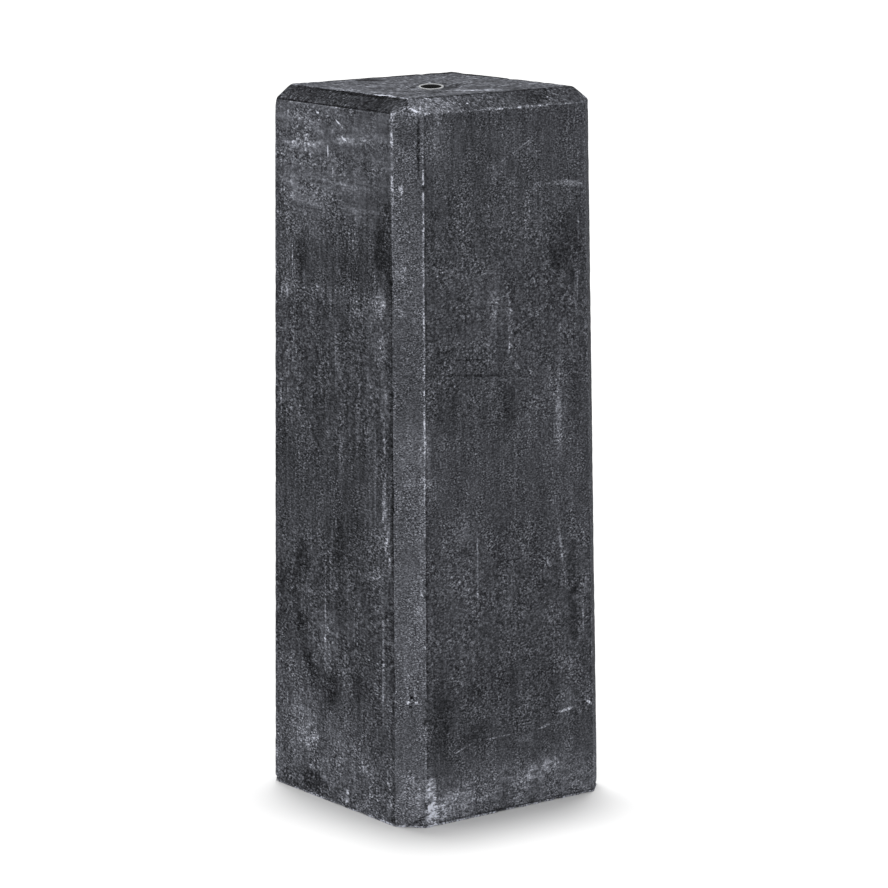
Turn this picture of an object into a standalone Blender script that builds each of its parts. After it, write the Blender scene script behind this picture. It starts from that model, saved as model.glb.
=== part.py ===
"""Column base block: a tapered precast concrete block with a tube socket in its top.

Metres, +Z up. The origin is the middle of the underside, on the ground.
The left face of the photograph is -X, the right face is -Y.
"""
import math

import bmesh
import bpy
from mathutils import Vector

# Driving dimensions of the block
base_width = 0.2137
shoulder_width = 0.2018
block_height = 0.600
top_bevel_run = 0.0172
top_bevel_rise = 0.0119
corner_chamfer_leg = 0.0182

# Driving dimensions of the tube socket
tube_outer_diameter = 0.0213
tube_wall = 0.0020
tube_length = 0.120
tube_lip_radius = 0.0005

# Clearance between touching pieces
casting_gap = 0.0003

# Facets
tube_sides = 48
lip_arc_steps = 3

# How far a cutter runs past the surface that it cuts
cutter_reach = 0.02

# Sizes worked out from the driving dimensions
shoulder_height = block_height - top_bevel_rise
top_face_width = shoulder_width - 2 * top_bevel_run
tube_outer_radius = tube_outer_diameter / 2
tube_inner_radius = tube_outer_radius - tube_wall
recess_radius = tube_outer_radius + casting_gap
recess_floor = block_height - tube_length - casting_gap

# Colours
concrete_colour = (0.062, 0.064, 0.069, 1.0)
tube_colour = (0.42, 0.43, 0.44, 1.0)


def clear_scene():
    """Remove the objects that a new file starts with."""
    for thing in list(bpy.data.objects):
        bpy.data.objects.remove(thing, do_unlink=True)


def new_collection(name):
    collection = bpy.data.collections.new(name)
    bpy.context.scene.collection.children.link(collection)
    return collection


def new_object(name, mesh, collection):
    thing = bpy.data.objects.new(name, mesh)
    collection.objects.link(thing)
    return thing


def principled(name, colour, roughness, metallic):
    material = bpy.data.materials.new(name)
    material.use_nodes = True
    shader = material.node_tree.nodes["Principled BSDF"]
    shader.inputs["Base Color"].default_value = colour
    shader.inputs["Roughness"].default_value = roughness
    shader.inputs["Metallic"].default_value = metallic
    material.diffuse_color = colour
    return material


def mesh_from(name, shape):
    bmesh.ops.recalc_face_normals(shape, faces=shape.faces[:])
    mesh = bpy.data.meshes.new(name)
    shape.to_mesh(mesh)
    shape.free()
    return mesh


def width_at(height):
    """Width across the flats of the tapered sides at a height above the ground."""
    return base_width + (shoulder_width - base_width) * height / shoulder_height


def bevelled_frustum(name):
    """The four leaning sides with the bevel all round the top face."""
    shape = bmesh.new()
    bmesh.ops.create_cube(shape, size=1.0)
    bmesh.ops.translate(shape, verts=shape.verts[:], vec=(0, 0, 0.5))
    bmesh.ops.scale(shape, verts=shape.verts[:], vec=(base_width, base_width, shoulder_height))
    shoulder = [v for v in shape.verts if v.co.z > shoulder_height / 2]
    taper = shoulder_width / base_width
    bmesh.ops.scale(shape, verts=shoulder, vec=(taper, taper, 1))
    shape.faces.ensure_lookup_table()
    cap = max(shape.faces, key=lambda face: face.calc_center_median().z)
    raised = bmesh.ops.extrude_face_region(shape, geom=[cap])
    bmesh.ops.delete(shape, geom=[cap], context="FACES_ONLY")
    rim = [item for item in raised["geom"] if isinstance(item, bmesh.types.BMVert)]
    bmesh.ops.translate(shape, verts=rim, vec=(0, 0, top_bevel_rise))
    narrowing = top_face_width / shoulder_width
    bmesh.ops.scale(shape, verts=rim, vec=(narrowing, narrowing, 1))
    return mesh_from(name, shape)


def corner_envelope(name):
    """A square frustum turned by 45 degrees, whose sides are the four corner chamfers."""
    low = -cutter_reach
    high = block_height + cutter_reach
    shape = bmesh.new()
    bmesh.ops.create_cone(
        shape,
        cap_ends=True,
        segments=4,
        radius1=width_at(low) - corner_chamfer_leg,
        radius2=width_at(high) - corner_chamfer_leg,
        depth=high - low,
    )
    bmesh.ops.translate(shape, verts=shape.verts[:], vec=(0, 0, (low + high) / 2))
    return mesh_from(name, shape)


def recess_cutter(name):
    """The round recess that the tube is cast into."""
    depth = block_height + cutter_reach - recess_floor
    shape = bmesh.new()
    bmesh.ops.create_cone(
        shape,
        cap_ends=True,
        segments=tube_sides,
        radius1=recess_radius,
        radius2=recess_radius,
        depth=depth,
    )
    bmesh.ops.translate(shape, verts=shape.verts[:], vec=(0, 0, recess_floor + depth / 2))
    return mesh_from(name, shape)


def cut(target, cutter, operation):
    boolean = target.modifiers.new(cutter.name, "BOOLEAN")
    boolean.operation = operation
    boolean.solver = "EXACT"
    boolean.object = cutter
    cutter.hide_render = True
    cutter.display_type = "WIRE"


def concrete_block(collection, cutters):
    block = new_object("concrete_block", bevelled_frustum("concrete_block"), collection)
    envelope = new_object("corner_envelope", corner_envelope("corner_envelope"), cutters)
    recess = new_object("recess_cutter", recess_cutter("recess_cutter"), cutters)
    cut(block, envelope, "INTERSECT")
    cut(block, recess, "DIFFERENCE")
    block.data.materials.append(principled("anthracite_concrete", concrete_colour, 0.88, 0.0))
    return block


def lip_arc(centre_x, start_angle):
    """Points of a quarter round at the tube's mouth, run clockwise from start_angle."""
    centre = Vector((centre_x, 0, block_height - tube_lip_radius))
    points = []
    for step in range(lip_arc_steps + 1):
        angle = start_angle - math.pi / 2 * step / lip_arc_steps
        reach = Vector((math.cos(angle), 0, math.sin(angle)))
        points.append(centre + tube_lip_radius * reach)
    return points


def tube_socket(collection):
    """A plain tube, cast in flush with the top face, open at both ends."""
    foot = block_height - tube_length
    outer_lip = lip_arc(tube_outer_radius - tube_lip_radius, math.pi / 2)
    inner_lip = lip_arc(tube_inner_radius + tube_lip_radius, math.pi)
    outer_foot = Vector((tube_outer_radius, 0, foot))
    inner_foot = Vector((tube_inner_radius, 0, foot))
    outline = outer_lip + [outer_foot, inner_foot] + inner_lip
    mesh = bpy.data.meshes.new("tube_socket")
    edges = [(i, (i + 1) % len(outline)) for i in range(len(outline))]
    mesh.from_pydata(outline, edges, [])
    tube = new_object("tube_socket", mesh, collection)
    turn = tube.modifiers.new("turned", "SCREW")
    turn.axis = "Z"
    turn.angle = 2 * math.pi
    turn.steps = tube_sides
    turn.render_steps = tube_sides
    turn.use_merge_vertices = True
    turn.merge_threshold = 0.00001
    turn.use_smooth_shade = True
    mesh.materials.append(principled("zinc_coated_steel", tube_colour, 0.45, 1.0))
    return tube


def main():
    clear_scene()
    parts = new_collection("column_base_block")
    cutters = new_collection("cutters")
    concrete_block(parts, cutters)
    tube_socket(parts)


main()
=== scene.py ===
"""Surface, colours and studio view of a precast concrete column base block.

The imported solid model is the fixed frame. Metres, +Z up. The origin is the middle of
the underside, on the ground. The photographed corner is the one between the -X side,
on its left, and the -Y side, on its right.
"""
import math
import random

import bmesh
import bpy
from bpy.props import FloatProperty
from bpy.props import FloatVectorProperty
from bpy.props import IntProperty
from bpy.props import PointerProperty
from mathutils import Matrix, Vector
from mathutils import kdtree
from mathutils import noise


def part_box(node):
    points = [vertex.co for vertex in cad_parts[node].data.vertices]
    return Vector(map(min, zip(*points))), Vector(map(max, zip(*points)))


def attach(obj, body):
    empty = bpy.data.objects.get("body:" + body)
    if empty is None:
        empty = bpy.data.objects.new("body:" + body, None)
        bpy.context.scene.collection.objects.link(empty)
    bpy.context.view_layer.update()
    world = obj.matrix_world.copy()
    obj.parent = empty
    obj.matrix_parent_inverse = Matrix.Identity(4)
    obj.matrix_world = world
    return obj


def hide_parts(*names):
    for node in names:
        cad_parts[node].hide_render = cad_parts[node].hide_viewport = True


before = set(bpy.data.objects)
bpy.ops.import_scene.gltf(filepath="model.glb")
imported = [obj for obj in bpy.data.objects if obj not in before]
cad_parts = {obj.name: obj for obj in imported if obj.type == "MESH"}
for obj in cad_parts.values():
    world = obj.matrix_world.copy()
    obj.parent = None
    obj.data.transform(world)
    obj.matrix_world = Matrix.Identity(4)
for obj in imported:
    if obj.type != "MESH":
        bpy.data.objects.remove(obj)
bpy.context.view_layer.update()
block_low, block_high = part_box("concrete_block")
socket_low, socket_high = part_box("tube_socket")

bl_info = {
    "name": "Column base block",
    "version": (1, 0, 0),
    "blender": (4, 5, 0),
    "location": "3D View > Sidebar > Column base",
    "description": "Cast concrete column base with a tube socket, its weathering and a studio view",
    "category": "Add Mesh",
}

MM = 0.001
MERGE_DISTANCE = 0.00001
CUT_TOLERANCE = 0.000001
LEVEL_TOLERANCE = 0.1 * MM

# Level directions: to the photographed corner, across the picture and away from the corner
TOWARDS_CORNER = Vector((-0.593, -0.805, 0.0))
ACROSS_PICTURE = (0.805, -0.593, 0)
AWAY_FROM_CORNER = (0.593, 0.805, 0)

TOP_SAG = 0.9 * MM
FIN_LOW = 0.27
FIN_HIGH = 0.56
FIN_THICKNESS = 0.8 * MM
FRONT_CORNER_REACH = 0.022
SEEDED_ARRIS_CHIPS = 36
SEEDED_FOOT_CHIPS = 16
SEEDED_PITS = 14

FLOOR_HALF_WIDTH = 40
LIGHT_DIRECTION = Vector((0.054, 0.098, 1.0))
LIGHT_SPREAD = math.radians(9)
CAMERA_PLACE = (-1.85088, -2.50811, 0.89403)
CAMERA_TURN = (math.radians(79.1352), math.radians(0.35), math.radians(-36.656))


# Settings that a user would change

def length(name, default, description):
    return FloatProperty(name=name, description=description, default=default, unit="LENGTH")


def amount(name, default, description):
    return FloatProperty(name=name, description=description, default=default)


class BlockSizes(bpy.types.PropertyGroup):
    foot_width: length("Foot width", block_high.x - block_low.x, "Width across the flats at the ground")
    shoulder_width: length("Shoulder width", 0.2018, "Width across the flats just under the top bevel")
    height: length("Height", block_high.z, "Height from the ground to the top face")
    bevel_run: length("Bevel run", 0.0172, "Width of the top bevel seen from above")
    bevel_rise: length("Bevel rise", 0.0119, "Height of the top bevel")
    chamfer_leg: length("Chamfer leg", 0.0182, "How far each corner chamfer reaches along both sides")
    arris_radius: length("Arris radius", 0.0012, "Rounding of the edges between the faces")
    row_spacing: length("Row spacing", 0.0021, "Height of one row of faces on the sides")
    column_spacing: length(
        "Column spacing", 0.0055, "Width of one column of faces on the sides and the top"
    )
    dish_depth: length("Dish depth", 0.0014, "How far the trowelled top dips round the socket")


class SocketSizes(bpy.types.PropertyGroup):
    outer_diameter: length(
        "Outer diameter", socket_high.x - socket_low.x, "Outer diameter of the steel tube"
    )
    wall: length("Wall", 0.0020, "Wall thickness of the steel tube")
    foot: length("Foot", socket_low.z, "Height of the tube's lower end above the ground")
    slant: length(
        "Slant", 0.0028, "How much lower the tube's mouth is on the side towards the photographed corner"
    )
    casting_gap: length("Casting gap", 0.0003, "Gap between the tube and the concrete round it")
    sides: IntProperty(
        name="Sides",
        description="Number of facets round the tube",
        default=48,
        min=12,
    )


class ConcreteTones(bpy.types.PropertyGroup):
    side_tone: amount("Side tone", 0.0585, "Reflectance of the plain sides")
    chamfer_tone: amount("Chamfer tone", 0.088, "Reflectance of the corner chamfers")
    # Painted shade: the bevels over the left and back sides are made darker than the right bevel, for
    # the shade of bevels turned from the light.
    left_bevel_shaded_tone: amount("Left bevel tone", 0.037, "Reflectance of the darker bevels round the top")
    right_bevel_tone: amount(
        "Right bevel tone", 0.056, "Reflectance of the paler bevel over the right side"
    )
    top_tone: amount("Top tone", 0.083, "Reflectance of the trowelled top face")
    tint: FloatVectorProperty(
        name="Tint",
        description="Cool cast of the anthracite pigment",
        subtype="COLOR",
        size=3,
        default=(0.937, 0.970, 1.093),
        max=2.0,
    )
    grain: amount("Grain", 6.3, "Strength of the sand grain in the colour")


class StageSettings(bpy.types.PropertyGroup):
    sun_strength: amount("Overhead light", 2.3, "Strength of the soft overhead light")
    fill_strength: amount("Fill light", 0.71, "Strength of the even light from all round")
    lens: FloatProperty(
        name="Lens",
        description="Focal length on a 36 mm sensor",
        default=152.15,
        unit="CAMERA",
    )


# Shape of the cast block

def half_width_at(sizes, height):
    """Half the width across the flats at a height, level above the shoulder."""
    shoulder = sizes.height - sizes.bevel_rise
    share = min(max(height, 0.0), shoulder) / shoulder
    return (sizes.foot_width + (sizes.shoulder_width - sizes.foot_width) * share) / 2


def everything(shape):
    return shape.verts[:] + shape.edges[:] + shape.faces[:]


def only(items, kind):
    return [item for item in items if isinstance(item, kind)]


def slice_at(shape, geom, position, direction):
    """Cut the faces along a plane and keep both halves."""
    bmesh.ops.bisect_plane(
        shape,
        geom=geom,
        dist=CUT_TOLERANCE,
        plane_co=Vector(direction).normalized() * position,
        plane_no=direction,
    )


def cut_off(shape, place, direction):
    """Cut away what lies beyond a plane and close the cut."""
    cut = bmesh.ops.bisect_plane(
        shape,
        geom=everything(shape),
        dist=CUT_TOLERANCE,
        plane_co=place,
        plane_no=direction,
        clear_outer=True,
    )
    bmesh.ops.contextual_create(shape, geom=only(cut["geom_cut"], bmesh.types.BMEdge))


def upright_block(sizes):
    """The block before it is tapered: upright sides, top bevel and corner chamfers.

    The bevel's two corners seen from the side are worn away in a straight line.
    """
    shoulder = sizes.height - sizes.bevel_rise
    shape = bmesh.new()
    bmesh.ops.create_cube(shape, size=1.0)
    bmesh.ops.translate(shape, verts=shape.verts[:], vec=(0, 0, 0.5))
    bmesh.ops.scale(shape, verts=shape.verts[:], vec=(sizes.foot_width, sizes.foot_width, shoulder))
    shape.faces.ensure_lookup_table()
    cap = max(shape.faces, key=lambda face: face.calc_center_median().z)
    raised = bmesh.ops.extrude_face_region(shape, geom=[cap])
    bmesh.ops.delete(shape, geom=[cap], context="FACES_ONLY")
    rim = only(raised["geom"], bmesh.types.BMVert)
    bmesh.ops.translate(shape, verts=rim, vec=(0, 0, sizes.bevel_rise))
    narrowing = 1 - 2 * sizes.bevel_run / sizes.foot_width
    bmesh.ops.scale(shape, verts=rim, vec=(narrowing, narrowing, 1))
    reach = (sizes.foot_width - sizes.chamfer_leg) / 2
    for side_x in (-1, 1):
        for side_y in (-1, 1):
            cut_off(shape, (side_x * reach, side_y * reach, 0), (side_x, side_y, 0))
    run = (2 * sizes.bevel_run - sizes.chamfer_leg) / math.sqrt(2)
    slope = sizes.bevel_rise / math.sqrt(2)
    for side in (-1, 1):
        cut_off(shape, (side * reach, -side * reach, shoulder), (side * slope, -side * slope, run))
    bmesh.ops.recalc_face_normals(shape, faces=shape.faces[:])
    return shape


def round_edges(shape, edges, radius, clamp):
    bmesh.ops.bevel(
        shape,
        geom=edges,
        offset=radius,
        offset_type="OFFSET",
        segments=3,
        profile=0.5,
        affect="EDGES",
        clamp_overlap=clamp,
        material=-1,
    )


def round_arrises(shape, sizes):
    """Round every edge between two faces a little, except round the foot."""
    sharp = []
    for edge in shape.edges:
        raised = max(vert.co.z for vert in edge.verts) > LEVEL_TOLERANCE
        if raised and edge.calc_face_angle(0) > math.radians(10):
            sharp.append(edge)
    round_edges(shape, sharp, sizes.arris_radius, True)


def near_edge_steps(inner, limit):
    """Distances from an arris at which a face is cut, closer together near the arris."""
    steps = []
    distance = inner
    while distance < limit:
        steps.append(distance)
        distance += 0.4 * MM + 0.28 * distance
    return steps


def cut_columns(shape, sizes):
    """Cut the sides, the chamfers and the top into upright columns."""
    flat_half = sizes.foot_width / 2 - sizes.chamfer_leg
    steps = near_edge_steps(sizes.arris_radius, 14 * MM)
    positions = {0.0}
    for step in steps:
        positions.add(flat_half - step)
    count = 1
    while count * sizes.column_spacing < flat_half - steps[-1] - 0.5 * sizes.column_spacing:
        positions.add(count * sizes.column_spacing)
        count += 1
    for position in sorted(positions):
        for signed in {position, -position}:
            slice_at(shape, everything(shape), signed, (1, 0, 0))
            slice_at(shape, everything(shape), signed, (0, 1, 0))
    chamfer_half = sizes.chamfer_leg / math.sqrt(2)
    across = {0.0}
    for step in near_edge_steps(sizes.arris_radius, chamfer_half - 1.5 * MM):
        across.add(chamfer_half - step)
        across.add(step - chamfer_half)
    reach = sizes.foot_width - sizes.chamfer_leg - 0.2 * MM
    for position in sorted(across):
        for turn in (-1, 1):
            faces = []
            for face in shape.faces:
                middle = face.calc_center_median()
                on_chamfer = abs(middle.x) + abs(middle.y) > reach
                if on_chamfer and middle.x * middle.y * turn < 0:
                    faces.append(face)
            edges = {edge for face in faces for edge in face.edges}
            verts = {vert for face in faces for vert in face.verts}
            slice_at(shape, list(verts) + list(edges) + faces, position, (1, turn, 0))


def cut_rows(shape, sizes):
    """Cut the block into level rows, close together at the foot and in the top bevel."""
    low_zone = 9 * MM
    high_zone = sizes.height - sizes.bevel_rise - 9 * MM
    heights = [sizes.arris_radius, 2.2 * MM, 3.6 * MM, 5.4 * MM, 7.2 * MM, low_zone]
    height = high_zone
    while height < sizes.height - 0.8 * MM:
        heights.append(height)
        height += 1.5 * MM
    for height in heights:
        slice_at(shape, everything(shape), height, (0, 0, 1))
    tall = []
    for edge in shape.edges:
        ends = sorted(vert.co.z for vert in edge.verts)
        if ends[0] < low_zone + LEVEL_TOLERANCE and ends[1] > high_zone - LEVEL_TOLERANCE:
            tall.append(edge)
    cuts = round((high_zone - low_zone) / sizes.row_spacing) - 1
    bmesh.ops.subdivide_edges(shape, edges=tall, cuts=cuts, use_grid_fill=True)


def open_recess(shape, sizes, socket):
    """Cut the round recess of the tube into the top face and cut rings round its mouth."""
    patch_columns = 6
    ring_cuts = 6
    patch_half = patch_columns * sizes.column_spacing + LEVEL_TOLERANCE
    patch = []
    for face in shape.faces:
        middle = face.calc_center_median()
        inside = abs(middle.x) < patch_half and abs(middle.y) < patch_half
        if inside and middle.z > sizes.height - LEVEL_TOLERANCE:
            patch.append(face)
    bmesh.ops.delete(shape, geom=patch, context="FACES")
    square = [edge for edge in shape.edges if edge.is_boundary]
    made = bmesh.ops.create_circle(
        shape,
        cap_ends=False,
        segments=len(square),
        radius=socket.outer_diameter / 2 + socket.casting_gap,
    )
    ring = {edge for vert in made["verts"] for edge in vert.link_edges}
    bmesh.ops.translate(shape, verts=made["verts"], vec=(0, 0, sizes.height))
    bridged = bmesh.ops.bridge_loops(shape, edges=square + list(ring))
    bmesh.ops.subdivide_edges(shape, edges=bridged["edges"], cuts=ring_cuts, use_grid_fill=True)
    rim = [edge for edge in shape.edges if edge.is_boundary]
    walls = bmesh.ops.extrude_edge_only(shape, edges=rim)
    floor_verts = only(walls["geom"], bmesh.types.BMVert)
    floor_edges = [edge for edge in only(walls["geom"], bmesh.types.BMEdge) if edge.is_boundary]
    drop = sizes.height - socket.foot + socket.casting_gap
    bmesh.ops.translate(shape, verts=floor_verts, vec=(0, 0, -drop))
    bmesh.ops.contextual_create(shape, geom=floor_edges)


def taper(shape, sizes):
    """Lean the four sides inwards and keep the chamfers at the same width."""
    flat_half = sizes.foot_width / 2 - sizes.chamfer_leg
    for vert in shape.verts:
        lean = sizes.foot_width / 2 - half_width_at(sizes, vert.co.z)
        for axis in (0, 1):
            place = vert.co[axis]
            if abs(place) > flat_half:
                vert.co[axis] = place - math.copysign(lean, place)
            else:
                vert.co[axis] = place * (flat_half - lean) / flat_half


def smooth_step(value, start, end):
    share = min(max((value - start) / (end - start), 0.0), 1.0)
    return share * share * (3 - 2 * share)


def closeness(distance, inner, outer):
    """1 up to the inner distance, easing to 0 at the outer one."""
    return 1 - smooth_step(distance, inner, outer)


def rough(place, cell, seed):
    """Smooth random value from about -1 to 1 that changes over one cell."""
    return noise.noise(Vector(place) / cell + Vector((seed * 17.3, seed * 5.1, seed * 9.7)))


def arris_distances(sizes, place):
    """Distance to the nearest upright arris, shoulder arris, top arris and foot arris."""
    half = half_width_at(sizes, place.z)
    far = max(abs(place.x), abs(place.y))
    near = min(abs(place.x), abs(place.y))
    upright = math.hypot(far - half, near - (half - sizes.chamfer_leg))
    corner = (2 * half - sizes.chamfer_leg - abs(place.x) - abs(place.y)) / math.sqrt(2)
    above = place.z - (sizes.height - sizes.bevel_rise)
    shoulder = math.hypot(min(half - far, corner), above)
    top = math.hypot(far - (half - sizes.bevel_run), place.z - sizes.height)
    if above > 0:
        slope = sizes.bevel_run / sizes.bevel_rise
        upright = math.hypot(corner, (half - above * slope - far) / math.hypot(1, slope))
    foot = math.hypot(min(half - far, corner), place.z)
    return upright, shoulder, top, foot


def uneven_surface(shape, sizes):
    """Shallow hollows of the mould, worn arrises, the groove at the foot and the dished top."""
    shape.normal_update()
    moves = {}
    for vert in shape.verts:
        place = vert.co
        if math.hypot(place.x, place.y) < 12 * MM and place.z < sizes.height - 1 * MM:
            continue
        upright, shoulder, top, foot = arris_distances(sizes, place)
        on_top = place.z > sizes.height - 0.05 * MM
        hollow = 0.09 * MM * (1 + rough(place, 0.07, 1)) + 0.04 * MM * (1 + rough(place, 0.012, 2))
        hollow += 0.02 * MM * (1 + rough(place, 0.004, 7))
        patchy = max(0.0, rough(place, 0.011, 3)) + 0.7 * max(0.0, rough(place, 0.0045, 4))
        wear = 0.6 * MM * patchy * closeness(min(upright, shoulder, top), 0, 3.5 * MM)
        groove = smooth_step(place.z, 1.2 * MM, 2.2 * MM) * closeness(place.z, 2.2 * MM, 4 * MM)
        wear += 0.7 * MM * (0.3 + patchy) * groove
        shift = -vert.normal * (wear + (0 if on_top else hollow))
        if on_top:
            radius = math.hypot(place.x, place.y)
            outwards = place.x * TOWARDS_CORNER.x + place.y * TOWARDS_CORNER.y
            facing = outwards / max(radius, 1 * MM)
            dish = sizes.dish_depth * (1.0 + 1.6 * max(0.0, facing))
            reach = 26 * MM + 30 * MM * max(0.0, facing)
            shift.z -= dish * closeness(radius, 12 * MM, reach)
            swirl = 0.5 + 0.5 * rough(place, 0.02, 5)
            shift.z -= 0.25 * MM * swirl + 0.12 * MM * (1 + rough(place, 0.007, 6))
            shift.z -= TOP_SAG * smooth_step(-outwards, 0, 0.11)
        moves[vert] = shift
    for vert, shift in moves.items():
        vert.co += shift
        if vert.co.z < 0:
            vert.co.z = 0


CHIPS = (
    # x, y, z, reach and depth in millimetres
    (-107, -41, 1, 4, 2.0),
    (-107, -53, 1, 3, 1.4),
    (-96, -96, 1, 5, 0.7),
    (-91, -103, 2, 3, 0.6),
    (-107, 89, 0, 5, 2.2),
    (107, -89, 0, 5, 2.4),
    (-10, -107, 0, 4, 1.6),
    (3, -107, 0, 4, 1.8),
    (35, -107, 1, 4, 1.4),
    (50, -107, 1, 5, 1.8),
    (-88, -107, 18, 3, 1.4),
    (-107, -88, 28, 3, 1.3),
    (-87, -105, 101, 2.5, 1.0),
    (-88, -105, 90, 2.5, 1.2),
    (33, 78, 600, 5, 1.6),
    (57, 70, 600, 9, 1.2),
    (-83, -83, 598, 4, 1.0),
    (-101, -82, 560, 3, 1.0),
    (-101, -82, 541, 3, 0.9),
    (-102, -83, 523, 2.5, 0.8),
    (101, -82, 583, 3, 0.8),
    (-101, 84, 587, 4, 1.2),
    (98, 96, 2, 10, 3.0),
    (106, 30, 1, 6, 2.0),
)


def points_of(shape):
    """The shape's points, sorted for finding those near a place."""
    tree = kdtree.KDTree(len(shape.verts))
    for index, vert in enumerate(shape.verts):
        tree.insert(vert.co, index)
    tree.balance()
    shape.verts.ensure_lookup_table()
    return tree


def knock_chips(shape, sizes):
    """Small breaks along the arrises, named ones first and a few seeded ones after them."""
    chips = [tuple(value * MM for value in chip) for chip in CHIPS]
    dice = random.Random(11)
    for _ in range(SEEDED_ARRIS_CHIPS):
        height = dice.uniform(0.02, 0.58)
        half = half_width_at(sizes, height)
        pair = [half, half - sizes.chamfer_leg]
        dice.shuffle(pair)
        x = pair[0] * dice.choice((-1, 1))
        y = pair[1] * dice.choice((-1, 1))
        chips.append((x, y, height, dice.uniform(1.5, 3.5) * MM, dice.uniform(0.4, 1.1) * MM))
    for _ in range(SEEDED_FOOT_CHIPS):
        along = dice.uniform(-0.085, 0.085)
        half = half_width_at(sizes, 0) * dice.choice((-1, 1))
        x, y = dice.choice(((half, along), (along, half)))
        chips.append((x, y, 0.0, dice.uniform(2, 4) * MM, dice.uniform(0.4, 1.2) * MM))
    tree = points_of(shape)
    shape.normal_update()
    for x, y, z, reach, depth in chips:
        for place, index, distance in tree.find_range((x, y, z), reach * 1.4):
            vert = shape.verts[index]
            edge = reach * (1 + 0.35 * rough(place, 0.003, 8))
            if distance < edge:
                share = 1 - (distance / edge) ** 2
                vert.co -= vert.normal * depth * share
                if vert.co.z < 0:
                    vert.co.z = 0


def raise_fin(shape, sizes):
    """The thin fin of cement paste that the mould joint left on the front right arris."""
    for vert in shape.verts:
        place = vert.co
        if place.x > 0 or place.y > 0 or not FIN_LOW < place.z < FIN_HIGH:
            continue
        half = half_width_at(sizes, place.z)
        distance = math.hypot(place.x + half - sizes.chamfer_leg, place.y + half)
        ridge = closeness(distance, 0, 2.2 * MM)
        if ridge > 0:
            ends = smooth_step(place.z, FIN_LOW, 0.31) * closeness(place.z, 0.52, FIN_HIGH)
            ragged = 0.55 + 0.45 * rough(place, 0.004, 9)
            vert.co += Vector((-0.38, -0.92, 0)) * ridge * ends * ragged * FIN_THICKNESS


PITS = (
    # face, distance across it from its middle, height, radius and depth in millimetres
    ("left", -58, 45, 1.6, 1.2),
    ("left", -29, 46, 1.8, 1.3),
    ("left", -42, 420, 1.4, 1.0),
    ("left", -22, 436, 4.5, 0.7),
    ("left", -19, 579, 1.6, 1.0),
    ("left", 3, 563, 1.6, 1.0),
    ("left", -6, 468, 1.5, 0.8),
    ("right", -58, 585, 1.6, 1.1),
    ("right", -77, 551, 1.4, 1.0),
    ("right", 1, 547, 1.3, 1.0),
    ("right", -67, 504, 1.5, 1.0),
    ("right", 28, 546, 0.9, 0.8),
    ("right", 57, 442, 0.9, 0.8),
    ("right", 50, 417, 0.9, 0.8),
    ("right", 57, 417, 0.9, 0.8),
    ("right", 57, 410, 0.9, 0.8),
    ("right", 60, 392, 1.0, 0.9),
    ("right", 46, 372, 0.9, 0.8),
    ("right", 62, 370, 0.9, 0.8),
    ("right", 12, 300, 0.9, 0.8),
)


def point_on_face(sizes, face, across, height):
    half = half_width_at(sizes, height)
    if face == "left":
        return Vector((-half, -across, height))
    if face == "right":
        return Vector((across, -half, height))
    if face == "back_left":
        return Vector((across, half, height))
    return Vector((half, across, height))


def press_pits(shape, sizes):
    """Air holes: named ones on the photographed sides and seeded ones on the others."""
    pits = []
    for face, across, height, radius, depth in PITS:
        spot = point_on_face(sizes, face, across * MM, height * MM)
        pits.append((spot, radius * MM, depth * MM))
    dice = random.Random(5)
    for face in ("back_left", "back_right"):
        for _ in range(SEEDED_PITS):
            spot = point_on_face(sizes, face, dice.uniform(-0.08, 0.08), dice.uniform(0.03, 0.57))
            pits.append((spot, dice.uniform(0.8, 1.8) * MM, dice.uniform(0.7, 1.2) * MM))
    tree = points_of(shape)
    near = set()
    for spot, radius, depth in pits:
        for place, index, distance in tree.find_range(spot, radius + 4 * MM):
            near.add(shape.verts[index])
    edges = {edge for vert in near for edge in vert.link_edges if edge.other_vert(vert) in near}
    bmesh.ops.subdivide_edges(shape, edges=list(edges), cuts=3, use_grid_fill=True)
    tree = points_of(shape)
    shape.normal_update()
    for spot, radius, depth in pits:
        for place, index, distance in tree.find_range(spot, radius * 1.5):
            vert = shape.verts[index]
            edge = radius * (1 + 0.25 * rough(place, 0.0015, 10))
            if distance < edge:
                vert.co -= vert.normal * depth * math.sqrt(1 - (distance / edge) ** 2)


# Materials

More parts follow.
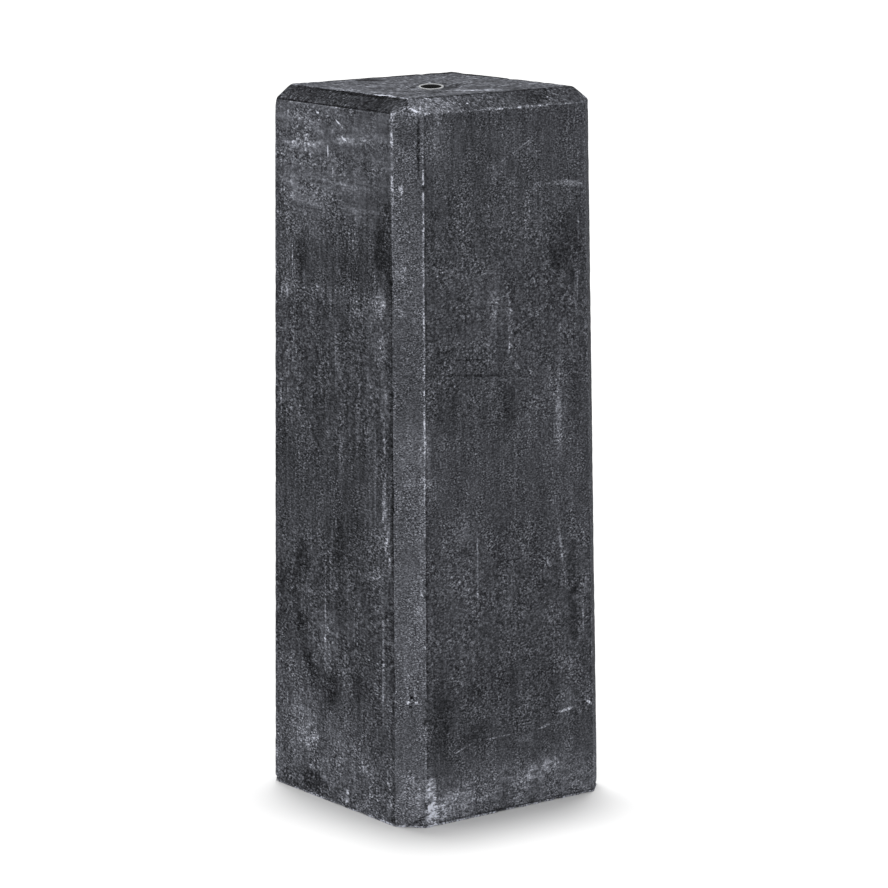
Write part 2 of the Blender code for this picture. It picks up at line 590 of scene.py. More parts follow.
class Finish:
    """One material and the nodes that paint it."""

    def __init__(self, name, roughness, metallic):
        self.material = bpy.data.materials.new(name)
        self.material.use_nodes = True
        self.tree = self.material.node_tree
        self.shader = self.tree.nodes["Principled BSDF"]
        self.shader.inputs["Roughness"].default_value = roughness
        self.shader.inputs["Metallic"].default_value = metallic
        self.place = self.add("ShaderNodeTexCoord").outputs["Object"]

    def add(self, kind, **settings):
        node = self.tree.nodes.new(kind)
        for name, value in settings.items():
            setattr(node, name, value)
        return node

    def feed(self, socket, value):
        """Link a socket to another one, or give it a plain value."""
        if isinstance(value, bpy.types.NodeSocket):
            self.tree.links.new(value, socket)
        else:
            socket.default_value = value

    def maths(self, operation, first, second=0.0):
        node = self.add("ShaderNodeMath", operation=operation)
        self.feed(node.inputs[0], first)
        self.feed(node.inputs[1], second)
        return node.outputs[0]

    def fade(self, value, start, end, low=0.0, high=1.0):
        """Ease from low to high while the value goes from start to end."""
        node = self.add("ShaderNodeMapRange", interpolation_type="SMOOTHSTEP", clamp=True)
        self.feed(node.inputs["Value"], value)
        node.inputs["From Min"].default_value = start
        node.inputs["From Max"].default_value = end
        node.inputs["To Min"].default_value = low
        node.inputs["To Max"].default_value = high
        return node.outputs["Result"]

    def noise(self, cell, detail=2.0, roughness=0.5, shift=0.0):
        """Random pattern whose cells have that size in millimetres along X, Y and Z."""
        place = self.add("ShaderNodeMapping")
        self.feed(place.inputs["Vector"], self.place)
        place.inputs["Location"].default_value = (shift, shift * 1.7, shift * 0.6)
        place.inputs["Scale"].default_value = tuple(1 / (size * MM) for size in cell)
        node = self.add("ShaderNodeTexNoise")
        self.feed(node.inputs["Vector"], place.outputs["Vector"])
        node.inputs["Scale"].default_value = 1.0
        node.inputs["Detail"].default_value = detail
        node.inputs["Roughness"].default_value = roughness
        return node.outputs["Fac"]

    def spread(self, pattern, strength):
        """A pattern from 0 to 1, moved to lie evenly about nought."""
        node = self.add("ShaderNodeMath", operation="MULTIPLY_ADD")
        self.feed(node.inputs[0], pattern)
        node.inputs[1].default_value = strength
        node.inputs[2].default_value = -strength / 2
        return node.outputs[0]

    def layer(self, layer, share):
        """One of the layers of a pattern, weakened to that share."""
        cell, detail, roughness, shift, strength = layer
        return self.spread(self.noise(cell, detail, roughness, shift), strength * share)

    def along(self, direction):
        """Distance along a direction from the object's origin."""
        node = self.add("ShaderNodeVectorMath", operation="DOT_PRODUCT")
        self.feed(node.inputs[0], self.place)
        node.inputs[1].default_value = direction
        return node.outputs["Value"]

    def face_plane(self, across, up):
        """Distances across and up a face, as a flat vector."""
        joined = self.add("ShaderNodeCombineXYZ")
        self.feed(joined.inputs["X"], self.along(across))
        self.feed(joined.inputs["Y"], self.along(up))
        return joined.outputs["Vector"]

    def mark(self, plane, across, height, half_width, half_height, strength, turn=0):
        """A soft oval mark: strength in its middle, nothing outside it."""
        place = self.add("ShaderNodeMapping", vector_type="TEXTURE")
        self.feed(place.inputs["Vector"], plane)
        place.inputs["Location"].default_value = (across * MM, height * MM, 0)
        place.inputs["Rotation"].default_value = (0, 0, math.radians(turn))
        place.inputs["Scale"].default_value = (half_width * MM, half_height * MM, 1)
        distance = self.add("ShaderNodeVectorMath", operation="LENGTH")
        self.feed(distance.inputs[0], place.outputs["Vector"])
        return self.fade(distance.outputs["Value"], 0.35, 1.0, strength, 0.0)

    def marks(self, plane, marks):
        total = 0.0
        for mark in marks:
            total = self.maths("ADD", self.mark(plane, *mark), total)
        return total

    def attribute(self, name):
        node = self.add("ShaderNodeAttribute", attribute_type="GEOMETRY", attribute_name=name)
        return node.outputs["Fac"]

    def bump(self, height, distance):
        node = self.add("ShaderNodeBump")
        node.inputs["Strength"].default_value = 1.0
        node.inputs["Distance"].default_value = distance
        self.feed(node.inputs["Height"], height)
        return node.outputs["Normal"]


# Marks on one face: across, height, half width and half height in millimetres, the
# strength, where 0.7 makes the concrete twice as pale, and for some a turn in degrees.

LEFT_MARKS = (
    # cement haze under the bevel and its level smears
    (0, 560, 105, 52, 0.26),
    (-50, 548, 50, 50, 0.38),
    (-52, 577, 34, 5, 0.35, 4),
    (-42, 555, 44, 5, 0.6, 3),
    (30, 562, 46, 4, 0.65, 4),
    (-15, 566, 40, 3, 0.35, 8),
    (-30, 513, 52, 9, 0.34, 5),
    (16, 528, 44, 10, 0.22, -24),
    (30, 505, 36, 4, 0.25, -24),
    (-45, 470, 60, 60, 0.2),
    # scratches in the haze
    (10, 575, 9, 1.1, 1.9, -32),
    (17, 563, 6, 1.0, 1.6, -25),
    (-6, 550, 0.9, 9, 1.3),
    (1, 534, 0.9, 7, 1.2),
    (-19, 581, 5, 1.3, 1.6, -20),
    (6, 585, 0.9, 5, 0.9),
    # dark run beside the chamfer
    (86, 300, 5, 420, -0.45),
    (78, 480, 16, 70, -0.45),
    (83, 465, 4, 50, -0.5),
    (86, 290, 3, 170, -0.45),
    (84, 250, 5, 50, -0.35),
    # pale runs and patches right of the middle
    (68, 433, 10, 16, 0.7),
    (66, 425, 22, 45, 0.2),
    (67, 395, 3, 24, 0.7),
    (75, 360, 2.6, 20, 0.8),
    (73, 322, 2.2, 26, 0.7),
    (72, 272, 3.2, 26, 1, -4),
    (78, 240, 3.4, 20, 1, -6),
    (80, 220, 3.4, 11, 1),
    (60, 290, 1.3, 60, 0.6),
    (62, 350, 20, 60, 0.15),
    (58, 230, 20, 45, 0.2),
    (71, 132, 2.6, 62, 1),
    (30, 150, 1.2, 50, 0.5),
    # pale runs on the left half
    (-58, 461, 1.2, 16, 1),
    (-62, 434, 16, 10, 0.3),
    (-64, 366, 1.1, 30, 0.7),
    (-22, 436, 4.0, 5, 0.8),
    (4, 395, 1.4, 40, 0.6),
    (-66, 340, 1.2, 14, 0.9),
    (-76, 338, 1.2, 14, 0.9),
    (-12, 165, 1.3, 50, 0.5),
    # darker bands
    (9, 231, 11, 32, -0.35),
    (10, 180, 12, 100, -0.15),
    (-66, 165, 30, 40, -0.35),
    (-20, 345, 14, 90, -0.2),
    # marks at the foot; the broad first one is painted light, making the foot paler against the shade
    # near the floor
    (-20, 4, 170, 95, 0.52),
    (-70, 95, 34, 44, 0.35, 30),
    (-28, 51, 14, 5, 0.45, 30),
    (-32, 25, 6, 4, 0.8),
    (-14, 19, 5, 4, 0.8),
    (20, 12, 4, 14, 0.8, -10),
    (78, 34, 3, 3, 1.2),
    (-58, 2, 30, 9, -0.35, -20),
    # broad dark and pale patches
    (-10, 290, 150, 170, -0.1),
    (67, 478, 12, 30, -0.6),
    (-46, 460, 12, 21, -0.6),
    (5, 462, 95, 22, -0.22),
    (-67, 429, 13, 7, 0.4),
    (0, 433, 62, 10, 0.25),
    (67, 435, 10, 14, 0.4),
    (-18, 508, 18, 6, 0.35),
    (-57, 504, 7, 38, 0.3),
    (71, 361, 4, 66, 0.5),
    (82, 340, 3, 42, -0.4),
    (74, 251, 5, 36, 0.55),
    (-45, 205, 14, 22, -0.7),
    (-46, 147, 11, 14, -0.9),
    (-36, 118, 10, 32, -0.85, 35),
    (-4, 98, 19, 20, -0.75),
    (36, 108, 10, 22, -0.7),
    (-6, 147, 26, 27, 0.4),
    (-42, 65, 24, 36, 0.5),
    (-34, 13, 26, 16, -0.85),
    (50, 39, 19, 10, 0.35),
    (79, 20, 12, 13, 0.45),
    (-74, 36, 7, 19, -0.35),
)

RIGHT_MARKS = (
    # haze under the bevel and the level rub marks
    (-70, 565, 35, 30, 0.2),
    (10, 560, 60, 16, 0.12, -12),
    (66, 522, 22, 3.5, 0.95, -8),
    (40, 523, 14, 2.5, 0.4, -4),
    (11, 553, 30, 0.8, 0.9, 28),
    (-10, 540, 16, 10, 0.35, 30),
    (-63, 476, 11, 0.8, 1),
    (-43, 386, 26, 1.0, -0.8, -5),
    (-71, 506, 6, 5, -0.5),
    # upright runs
    (75, 485, 1.6, 17, 0.9),
    (74, 439, 1.1, 18, 0.8),
    (2, 392, 1.2, 8, 0.9),
    (53, 325, 4.5, 44, 0.65),
    (54, 223, 1.6, 54, 0.8, 8),
    (-33, 214, 1.3, 42, 0.9),
    (78, 153, 1.3, 22, 0.9),
    (87, 300, 3, 420, -0.35),
    # pale flank of the fin
    (-83, 316, 5, 34, 0.55),
    (-82, 288, 6, 5, 0.6),
    (-84, 322, 1.6, 3, 1.6),
    (-85, 286, 2.2, 2, 2.2),
    # pale and dark patches
    (-5, 430, 16, 34, 0.25, 20),
    (45, 330, 40, 60, 0.12),
    (-50, 210, 34, 60, 0.14),
    (-72, 90, 13, 46, -0.5),
    (-10, 115, 70, 26, -0.18, 8),
    (-40, 70, 24, 12, -0.35, 25),
    (40, 105, 22, 30, -0.2),
    # rubbed marks and other marks at the foot; the broad one lower down is painted light, making the
    # foot paler against the shade near the floor
    (-84, 24, 8, 34, 1.3),
    (-78, 12, 14, 24, 0.8),
    (-62, 14, 30, 20, 0.4, 20),
    (-50, 61, 17, 1.0, 1.2, 18),
    (-14, 65, 20, 1.0, 0.8),
    (36, 66, 10, 1.4, 1.1, 12),
    (60, 77, 13, 2.0, 1.3, 8),
    (84, 79, 6, 1.6, 1.3, -30),
    (30, 30, 24, 10, 0.45, 8),
    (48, 36, 16, 6, 0.35),
    (4, 22, 14, 2, 0.5, 50),
    # painted light: the whole foot made paler against the shade near the floor
    (0, 4, 170, 60, 0.72),
    (13, 59, 13, 4, 0.4),
    (43, 31, 12, 6, 0.35),
    (15, 22, 8, 9, 0.35),
    (-9, 47, 6, 6, -0.35),
    (64, 97, 8, 30, 0.22),
    # broad dark and pale patches
    (-70, 575, 8, 28, 0.25),
    (61, 476, 23, 34, -0.42),
    (51, 461, 8, 16, -0.35),
    (68, 448, 4, 9, -0.45),
    (32, 519, 8, 7, 0.3),
    (3, 414, 3.5, 30, 0.5),
    (-14, 408, 4, 37, 0.22),
    (-66, 390, 15, 9, -0.4),
    (-32, 372, 44, 1.6, -0.85, -6),
    (-61, 347, 16, 27, -0.3),
    (2, 344, 10, 34, -0.4),
    (71, 340, 8, 38, -0.35),
    (-49, 247, 12, 22, 0.3),
    (-50, 227, 11, 3, -0.4, 25),
    (66, 183, 7, 56, -0.38),
    (68, 148, 6, 20, -0.5),
)

CHAMFER_MARKS = (
    (0, 570, 14, 15, -0.3),
    (9, 562, 1.8, 30, -1.3),
    (-5, 527, 3, 7, 0.8),
    (-6, 462, 7, 12, 0.5),
    (-6, 428, 3, 5, 0.6),
    (0, 372, 20, 60, -0.22),
    (0, 316, 20, 30, 0.18),
    (0, 170, 20, 90, 0.15),
    (10, 230, 2, 160, 0.3),
    (2, 288, 12, 4, 0.35),
    (7, 186, 4, 28, 0.2),
    (1, 337, 4, 40, 0.2),
    # small chips drawn as marks: the pale ones are painted highlights on their edges, the dark ones
    # painted shade in their hollows
    (-2, 106, 1.8, 2.2, 2.2, 30),
    (4, 112, 1.8, 1.8, 2.2),
    (0, 102, 1.8, 1.6, -2.5),
    (5, 106, 2.0, 1.6, 2, 40),
    (1, 110, 1.8, 1.6, -2.5),
    (0, 10, 20, 60, 0.5),
    (9, 25, 8, 26, 0.2),
    (5, 5, 9, 1.3, -1.6, 22),
    (9, 9, 5, 1.0, -1.2, 22),
)

LEFT_BEVEL_MARKS = (
    (10, 598.6, 120, 2.2, -0.9),
    (52, 594, 34, 9, -0.35),
    (84, 592, 10, 5, 0.7),
    (-50, 595, 50, 6, -0.12),
)

RIGHT_BEVEL_MARKS = (
    (-75, 594, 50, 30, 0.65),
    (60, 594, 50, 30, -0.3),
    (-80, 593, 6, 0.7, 0.8, 40),
    (-32, 593, 2.2, 1.0, 1.4, -30),
    (-22, 594, 3, 2.0, 0.9, 30),
    (34, 594, 22, 6, -0.4),
    (62, 593, 14, 1.2, 0.8, -35),
    (54, 591, 12, 1.2, 0.7, -35),
)

HIDDEN_MARKS = (
    # the foot made paler as painted light, as on the front sides, and a few broad patches
    (0, 4, 600, 60, 0.55),
    (-30, 560, 90, 40, 0.25),
    (40, 480, 30, 60, -0.25),
    (-45, 330, 26, 90, -0.2),
    (20, 200, 30, 70, 0.15),
)

TOP_MARKS = (
    # across the picture, and depth away from it
    (-50, 45, 17, 16, -1.3),
    (-38, -30, 14, 12, -0.5),
    (-60, -12, 26, 12, 0.25, 12),
    (-60, -48, 44, 6, 0.4, -46),
    (-38, -86, 14, 5, 1, -40),
    (-75, -26, 20, 3, 0.55, -46),
    (-12, -40, 10, 7, 0.3),
    (-21, 74, 4, 12, 0.45),
    (-16, 78, 3, 8, -0.6),
    (17, -6, 10, 14, -1.1),
    (14, 2, 3, 5, 0.8),
    (4, -62, 10, 18, -0.7),
    (36, -50, 32, 10, 0.9),
    (46, -22, 18, 8, -0.6),
    (26, 24, 9, 7, 0.5),
    (70, -44, 12, 10, -0.4),
    (9, 108, 14, 8, -0.8),
    (80, 0, 34, 14, 0.12),
)


# Layers of the concrete's pattern: cell in millimetres, detail, roughness, shift, strength.

LAYERS = (
    ((4.0, 4.8, 5.5), 1.0, 0.8, 4.0, 1.8),
    ((10, 11, 20), 1.0, 0.7, 9.0, 1.3),
    ((3.6, 3.6, 110), 2.0, 0.7, 6.0, 2.0),
)
CLOUDS = ((42, 42, 70), 1.0, 0.6, 2.0, 0.8)


def concrete_finish(
    tones, name, tone, across, marks, up=(0, 0, 1), cell=1.0, coarse=1.0, arris=1.0, haze=0.0, grit=1.0
):
    """Anthracite concrete: sand grain, cement haze, upright run marks and worn arrises, with painted
    light and shade from some marks, the arris attributes and the darker bevel tone.
    """
    finish = Finish(name, 0.92, 0.0)
    finish.shader.inputs["Specular IOR Level"].default_value = 0.03
    plane = finish.face_plane(across, up)
    grain = finish.noise((2.0 * cell, 2.8 * cell, 1.5 * cell), detail=1.0, roughness=0.9)
    grain = finish.spread(grain, tones.grain * grit)
    rubbed = finish.noise((18, 18, 26), detail=2.0, roughness=0.6, shift=21.0)
    rubbed = finish.fade(rubbed, 0.36, 0.64, 0.65, 1.2)
    grain = finish.maths("MULTIPLY", grain, rubbed)
    if haze:
        film = finish.noise((60, 60, 22), detail=2.0, roughness=0.6, shift=17.0)
        film = finish.fade(film, 0.38, 0.60)
        film = finish.maths("MULTIPLY", film, finish.fade(finish.along((0, 0, 1)), 0.47, 0.52))
        smears = finish.noise((70, 70, 4.5), detail=2.0, roughness=0.6, shift=14.0)
        smears = finish.fade(smears, 0.42, 0.68, 0.22, haze)
    level = grain
    for layer in LAYERS:
        level = finish.maths("ADD", level, finish.layer(layer, coarse))
    if haze:
        level = finish.maths("MULTIPLY", level, finish.fade(film, 0.0, 1.0, 1.0, 0.5))
        level = finish.maths("ADD", level, finish.maths("MULTIPLY", film, smears))
    level = finish.maths("ADD", level, finish.layer(CLOUDS, coarse))
    if marks:
        broken = finish.noise((8, 8, 4.0), detail=3.0, roughness=0.8, shift=7.0)
        broken = finish.fade(broken, 0.34, 0.66, 0.4, 1.6)
        spots = finish.maths("MULTIPLY", finish.marks(plane, marks), broken)
        level = finish.maths("ADD", level, spots)
    ragged = finish.noise((1.8, 1.8, 2.6), detail=2.0, roughness=0.8, shift=3.0)
    ragged = finish.fade(ragged, 0.40, 0.60, 0.3 * arris, 1.5 * arris)
    stretches = finish.noise((12, 12, 16), detail=2.0, roughness=0.7, shift=12.0)
    stretches = finish.fade(stretches, 0.38, 0.62, 0.5, 1.25)
    worn = finish.maths("MULTIPLY", ragged, stretches)
    # The pale arris attribute also holds the painted highlight along the foot; the dark one below holds
    # painted shade in the groove.
    worn = finish.maths("MULTIPLY", finish.attribute("pale_arris_and_foot_highlight"), worn)
    level = finish.maths("ADD", level, worn)
    level = finish.maths("SUBTRACT", level, finish.attribute("dark_arris_and_groove_shade"))
    shade = finish.maths("MULTIPLY", finish.maths("EXPONENT", level), tone)
    shade = finish.maths("MINIMUM", shade, 0.75)
    colour = finish.add("ShaderNodeVectorMath", operation="SCALE")
    colour.inputs[0].default_value = tuple(tones.tint)
    finish.feed(colour.inputs["Scale"], shade)
    finish.feed(finish.shader.inputs["Base Color"], colour.outputs["Vector"])
    finish.feed(finish.shader.inputs["Normal"], finish.bump(grain, 0.08 * MM))
    return finish.material


def steel_finish(name, inside):
    """Zinc coated steel, pale and scuffed at the rim, and near black inside the bore as painted shade.
    """
    finish = Finish(name, 0.6, 0.0)
    scuffs = finish.noise((1.6, 1.6, 0.6), detail=4.0, roughness=0.6)
    ramp = finish.add("ShaderNodeValToRGB")
    finish.feed(ramp.inputs["Fac"], scuffs)
    low, high = ramp.color_ramp.elements
    low.position = 0.35
    high.position = 0.65
    # Inside: near black, painted shade of the deep bore.
    if inside:
        low.color = (0.002, 0.002, 0.002, 1)
        high.color = (0.008, 0.007, 0.007, 1)
    else:
        low.color = (0.20, 0.205, 0.21, 1)
        high.color = (0.46, 0.47, 0.48, 1)
    finish.feed(finish.shader.inputs["Base Color"], ramp.outputs["Color"])
    finish.feed(finish.shader.inputs["Normal"], finish.bump(scuffs, 0.05 * MM))
    return finish.material


# Pieces

def paint_arrises(piece, sizes):
    """Store how pale or dark each point is made along the arrises: worn pale arrises, dark lines, a
    painted highlight along the foot and painted shade in the groove above it.
    """
    mesh = piece.data
    pale = mesh.attributes.new("pale_arris_and_foot_highlight", "FLOAT", "POINT")
    dark = mesh.attributes.new("dark_arris_and_groove_shade", "FLOAT", "POINT")
    pale_values = []
    dark_values = []
    for vert in mesh.vertices:
        place = vert.co
        half = half_width_at(sizes, place.z)
        upright, shoulder, top, foot = arris_distances(sizes, place)
        light = 0.6 * closeness(upright, 0.3 * MM, 1.6 * MM)
        shade = 0.0
        if place.x < 0 and place.y < 0:
            left_arris = math.hypot(place.x + half, place.y + half - sizes.chamfer_leg)
            right_arris = math.hypot(place.x + half - sizes.chamfer_leg, place.y + half)
            spread = closeness(left_arris, 0.5 * MM, 2.4 * MM)
            light = max(light * 0.5, 1.4 * spread * smooth_step(place.z, 0.47, 0.53))
            spread = closeness(right_arris, 0.3 * MM, 1.5 * MM)
            span = smooth_step(place.z, 0.20, 0.30) * closeness(place.z, 0.54, 0.57)
            light = max(light, spread * (0.65 + 0.75 * span))
            if place.x > -half + sizes.chamfer_leg:
                shade = 0.5 * smooth_step(right_arris, 0.8 * MM, 1.4 * MM)
                shade *= closeness(right_arris, 2.0 * MM, 3.2 * MM)
        patch = max(0.0, rough(place, 0.009, 13))
        on_right = place.y < -half + 2 * MM
        on_left = place.x < -half + 2 * MM
        below = place.z < sizes.height - sizes.bevel_rise
        rim = closeness(shoulder, 0.4 * MM, 1.8 * MM)
        if on_right:
            middle = closeness(abs(place.x - 4 * MM), 20 * MM, 50 * MM)
            light = max(light, rim * (0.5 + 1.6 * patch + 1.0 * middle))
        else:
            light = max(light, rim * (0.15 + 0.9 * patch if below else 0.1))
        at_corner = -place.x - place.y > 2 * half - FRONT_CORNER_REACH
        if at_corner and place.x < 0 and place.y < 0 and not below:
            light = max(light, 2.6 * closeness(upright, 0.5 * MM, 1.6 * MM))
        elif on_left and not below:
            shade = max(shade, 1.7 * closeness(shoulder, 0.8 * MM, 2.4 * MM))
        flat = place.z > sizes.height - 1.2 * MM
        rim = closeness(top, 0.3 * MM, 2.2 * MM)
        if place.x < -half + sizes.bevel_run + 3 * MM:
            if flat:
                light = max(light, rim * (0.6 + 0.9 * smooth_step(-place.y, -10 * MM, 60 * MM)))
            else:
                shade = max(shade, 0.9 * rim)
        else:
            shade = max(shade, 1.0 * closeness(top, 0.8 * MM, 2.0 * MM))
        # Painted highlight: a pale line along the foot's lip where the overhead light catches it, broken
        # into patches.
        rim = closeness(foot, 0.8 * MM, 2.2 * MM)
        light = max(light, rim * (1.3 + 2.4 * patch))
        # Painted shade: a dark line in the groove above the foot's lip on the right side.
        if on_right:
            groove = smooth_step(foot, 1.3 * MM, 2.0 * MM) * closeness(foot, 2.6 * MM, 3.8 * MM)
            shade = max(shade, groove * (0.6 + max(0.0, 1.8 * rough(place, 0.008, 12))))
        pale_values.append(light)
        dark_values.append(shade)
    pale.data.foreach_set("value", pale_values)
    dark.data.foreach_set("value", dark_values)


def finish_piece(piece, node):
    """Hand a finished piece to the frame in place of its solid."""
    for polygon in piece.data.polygons:
        polygon.use_smooth = True
    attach(piece, "root")
    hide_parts(node)


def put_in_scene(name, data):
    item = bpy.data.objects.new(name, data)
    bpy.context.scene.collection.objects.link(item)
    return item


def close_seams(shape):
    bmesh.ops.remove_doubles(shape, verts=shape.verts[:], dist=MERGE_DISTANCE)
    bmesh.ops.recalc_face_normals(shape, faces=shape.faces[:])


def piece_from(name, shape):
    close_seams(shape)
    mesh = bpy.data.meshes.new(name)
    shape.to_mesh(mesh)
    shape.free()
    return put_in_scene(name, mesh)


SLOPING = 1 / math.sqrt(2)
EAST = (1, 0, 0)
SOUTH = (0, -1, 0)
SLANTING = (SLOPING, -SLOPING, 0)

# Finishes of the block, in the order of their slots: name, which tone, direction across
# the face, marks on it, and what differs from the plain finish.

FINISHES = (
    ("left_side", "side_tone", SOUTH, LEFT_MARKS, {"coarse": 0.75, "haze": 0.75}),
    ("right_side", "side_tone", EAST, RIGHT_MARKS, {"cell": 0.95, "coarse": 0.5, "grit": 0.93}),
    ("chamfer", "chamfer_tone", SLANTING, CHAMFER_MARKS, {"cell": 0.66, "coarse": 0.2}),
    # The left and back bevels take the darker tone, which is painted shade.
    ("left_bevel", "left_bevel_shaded_tone", SOUTH, LEFT_BEVEL_MARKS, {"arris": 0.7}),
    ("right_bevel", "right_bevel_tone", EAST, RIGHT_BEVEL_MARKS, {"coarse": 0.5}),
    (
        "top",
        "top_tone",
        ACROSS_PICTURE,
        TOP_MARKS,
        {"up": AWAY_FROM_CORNER, "cell": 1.5, "coarse": 0.5, "grit": 0.9},
    ),
    (
        "hidden_sides",
        "side_tone",
        EAST,
        HIDDEN_MARKS,
        {"cell": 0.95, "coarse": 0.5, "arris": 0.7, "grit": 0.93},
    ),
    (
        "hidden_chamfers",
        "chamfer_tone",
        SLANTING,
        HIDDEN_MARKS,
        {"cell": 0.66, "coarse": 0.2, "arris": 0.7},
    ),
)
SLOTS = {finish[0]: number for number, finish in enumerate(FINISHES)}


def finish_at(polygon, sizes):
    """Name of the finish that a face of the block gets."""
    middle = polygon.center
    half = half_width_at(sizes, middle.z)
    shoulder = sizes.height - sizes.bevel_rise
    if abs(polygon.normal.z) > 0.9:
        return "top" if middle.z > shoulder else "hidden_sides"
    if abs(middle.x) + abs(middle.y) > 2 * half - sizes.chamfer_leg - 0.9 * MM:
        if middle.y > 0:
            return "hidden_chamfers"
        return "chamfer" if middle.x < 0 else "hidden_sides"
    if middle.z > shoulder + 0.2 * MM:
        return "right_bevel" if -middle.y > max(abs(middle.x), middle.y) else "left_bevel"
    if middle.x < 0.8 * MM - half:
        return "left_side"
    return "right_side" if middle.y < 0.8 * MM - half else "hidden_sides"


class COLUMNBASE_OT_cast_block(bpy.types.Operator):
    """Make the cast concrete block with its worn surface and colours"""

    bl_idname = "column_base.cast_block"
    bl_label = "Cast block"

    def execute(self, context):
        sizes = context.scene.column_base_block
        socket = context.scene.column_base_socket
        tones = context.scene.column_base_concrete
        shape = upright_block(sizes)
        round_arrises(shape, sizes)
        cut_columns(shape, sizes)
        cut_rows(shape, sizes)
        open_recess(shape, sizes, socket)
        taper(shape, sizes)
        bmesh.ops.recalc_face_normals(shape, faces=shape.faces[:])
        uneven_surface(shape, sizes)
        knock_chips(shape, sizes)
        raise_fin(shape, sizes)
        press_pits(shape, sizes)
        piece = piece_from("cast_concrete", shape)
        paint_arrises(piece, sizes)
        for name, tone, across, marks, changes in FINISHES:
            material = concrete_finish(
                tones, "concrete_" + name, getattr(tones, tone), across, marks, **changes
            )
            piece.data.materials.append(material)
        for polygon in piece.data.polygons:
            polygon.material_index = SLOTS[finish_at(polygon, sizes)]
        finish_piece(piece, "concrete_block")
        return {"FINISHED"}


class COLUMNBASE_OT_tube_socket(bpy.types.Operator):
    """Make the steel tube that is cast into the top"""

    bl_idname = "column_base.tube_socket"
    bl_label = "Tube socket"

    def execute(self, context):
        sizes = context.scene.column_base_block
        socket = context.scene.column_base_socket
        outer = socket.outer_diameter / 2
        inner = outer - socket.wall
        shape = bmesh.new()
        collar = sizes.height - 4 * MM
        corners = (
            (outer, socket.foot),
            (outer, collar),
            (outer, sizes.height),
            (inner, sizes.height),
            (inner, collar),
            (inner, socket.foot),
        )
        verts = [shape.verts.new((radius, 0, height)) for radius, height in corners]
        for index, vert in enumerate(verts):
            shape.edges.new((vert, verts[(index + 1) % len(verts)]))
        bmesh.ops.spin(
            shape,
            geom=shape.verts[:] + shape.edges[:],
            cent=(0, 0, 0),
            axis=(0, 0, 1),
            angle=2 * math.pi,
            steps=socket.sides,
            use_merge=True,
            use_duplicate=False,
        )
        close_seams(shape)
        rim = []
        for edge in shape.edges:
            level = all(vert.co.z > sizes.height - 0.01 * MM for vert in edge.verts)
            if level and edge.calc_face_angle(0) > math.radians(60):
                rim.append(edge)
        round_edges(shape, rim, 0.6 * MM, False)
        for vert in shape.verts:
            if vert.co.z > sizes.height - 2 * MM:
                share = 0.5 + 0.5 * vert.co.dot(TOWARDS_CORNER) / outer
                vert.co.z -= 0.05 * MM + socket.slant * share
        piece = piece_from("steel_tube", shape)
        piece.data.materials.append(steel_finish("zinc_rim", False))
        piece.data.materials.append(steel_finish("bore_painted_shade", True))
        for polygon in piece.data.polygons:
            # The bore below the rim takes the near-black painted shade.
            middle = polygon.center
            inside = math.hypot(middle.x, middle.y) < inner + 0.05 * MM
            polygon.material_index = 1 if inside and middle.z < sizes.height - 1.5 * MM else 0
        finish_piece(piece, "tube_socket")
        return {"FINISHED"}


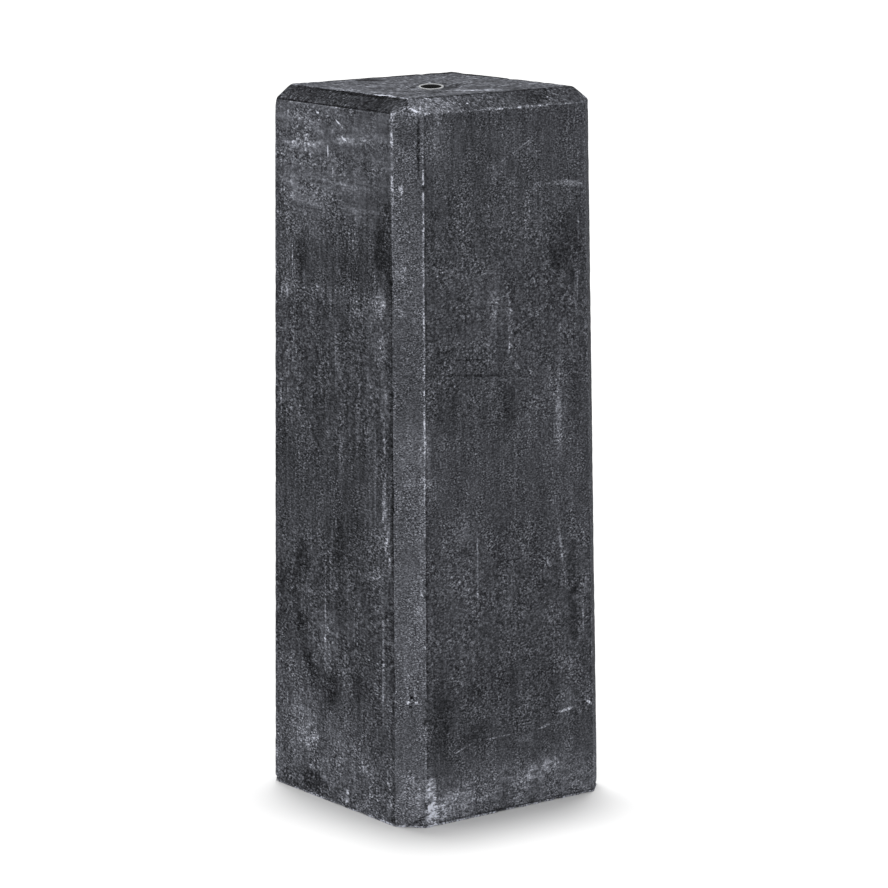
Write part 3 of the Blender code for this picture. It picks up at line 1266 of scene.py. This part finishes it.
class COLUMNBASE_OT_stage(bpy.types.Operator):
    """Make the pale floor, the soft light and the camera"""

    bl_idname = "column_base.stage"
    bl_label = "Stage"

    def execute(self, context):
        stage = context.scene.column_base_stage
        scene = context.scene
        shape = bmesh.new()
        bmesh.ops.create_grid(shape, x_segments=1, y_segments=1, size=FLOOR_HALF_WIDTH)
        ground = piece_from("pale_floor", shape)
        floor = Finish("pale_floor", 0.9, 0.0)
        mottle = floor.noise((400, 400, 400), detail=2.0)
        ramp = floor.add("ShaderNodeValToRGB")
        floor.feed(ramp.inputs["Fac"], mottle)
        ramp.color_ramp.elements[0].color = (0.80, 0.80, 0.80, 1)
        ramp.color_ramp.elements[1].color = (0.84, 0.84, 0.84, 1)
        floor.feed(floor.shader.inputs["Base Color"], ramp.outputs["Color"])
        ground.data.materials.append(floor.material)

        sun_data = bpy.data.lights.new("overhead_light", "SUN")
        sun_data.energy = stage.sun_strength
        sun_data.angle = LIGHT_SPREAD
        sun = put_in_scene("overhead_light", sun_data)
        sun.rotation_euler = LIGHT_DIRECTION.to_track_quat("Z", "Y").to_euler()

        world = bpy.data.worlds.new("soft_surround")
        scene.world = world
        world.use_nodes = True
        background = world.node_tree.nodes["Background"]
        background.inputs["Color"].default_value = (1, 1, 1, 1)
        background.inputs["Strength"].default_value = stage.fill_strength

        camera_data = bpy.data.cameras.new("camera")
        camera_data.lens = stage.lens
        camera_data.sensor_width = 36
        camera_data.clip_end = 100
        camera = put_in_scene("camera", camera_data)
        camera.location = CAMERA_PLACE
        camera.rotation_euler = CAMERA_TURN
        scene.camera = camera
        scene.view_settings.view_transform = "Standard"
        return {"FINISHED"}


class VIEW3D_PT_column_base(bpy.types.Panel):
    """Lists the pieces of the column base and their settings"""

    bl_label = "Column base"
    bl_idname = "VIEW3D_PT_column_base"
    bl_space_type = "VIEW_3D"
    bl_region_type = "UI"
    bl_category = "Column base"

    def draw(self, context):
        layout = self.layout
        for group in ("block", "socket", "concrete", "stage"):
            settings = getattr(context.scene, "column_base_" + group)
            column = layout.column()
            for name in settings.__annotations__:
                column.prop(settings, name)
        for operator in OPERATORS:
            layout.operator(operator.bl_idname)


OPERATORS = (
    COLUMNBASE_OT_cast_block,
    COLUMNBASE_OT_tube_socket,
    COLUMNBASE_OT_stage,
)

SETTINGS = {
    "column_base_block": BlockSizes,
    "column_base_socket": SocketSizes,
    "column_base_concrete": ConcreteTones,
    "column_base_stage": StageSettings,
}


def register():
    for name, group in SETTINGS.items():
        bpy.utils.register_class(group)
        setattr(bpy.types.Scene, name, PointerProperty(type=group))
    for operator in OPERATORS:
        bpy.utils.register_class(operator)
    bpy.utils.register_class(VIEW3D_PT_column_base)


def unregister():
    bpy.utils.unregister_class(VIEW3D_PT_column_base)
    for operator in reversed(OPERATORS):
        bpy.utils.unregister_class(operator)
    for name, group in SETTINGS.items():
        delattr(bpy.types.Scene, name)
        bpy.utils.unregister_class(group)


def main():
    register()
    bpy.ops.column_base.cast_block()
    bpy.ops.column_base.tube_socket()
    bpy.ops.column_base.stage()


if __name__ == "__main__":
    main()
